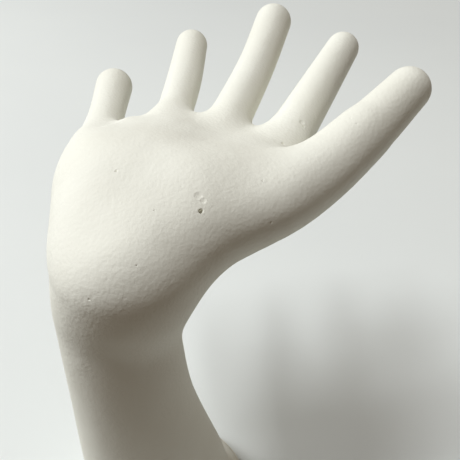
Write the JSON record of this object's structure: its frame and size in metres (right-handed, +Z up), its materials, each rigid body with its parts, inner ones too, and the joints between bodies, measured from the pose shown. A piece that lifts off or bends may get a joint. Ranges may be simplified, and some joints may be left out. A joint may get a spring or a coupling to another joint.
{
  "type": "ceramic hand sculpture",
  "caption": "Open hand in matte white ceramic, palm up and bent back at the wrist, on a slender forearm that flares into a round foot.",
  "frame": {"origin": "centre of the foot, on the table", "axes": "+Z up, +Y the way the fingers point, +X the thumb's side"},
  "size_m": [0.1538, 0.1856, 0.2059],
  "materials": {
    "ceramic": "matte",
    "felt": "matte"
  },
  "bodies": {
    "root": {"forearm": "ceramic", "palm": "ceramic", "thumb": "ceramic", "index_finger": "ceramic", "middle_finger": "ceramic", "ring_finger": "ceramic", "little_finger": "ceramic", "foot_plate": "ceramic", "felt_pad": "felt"}
  },
  "joints": []
}
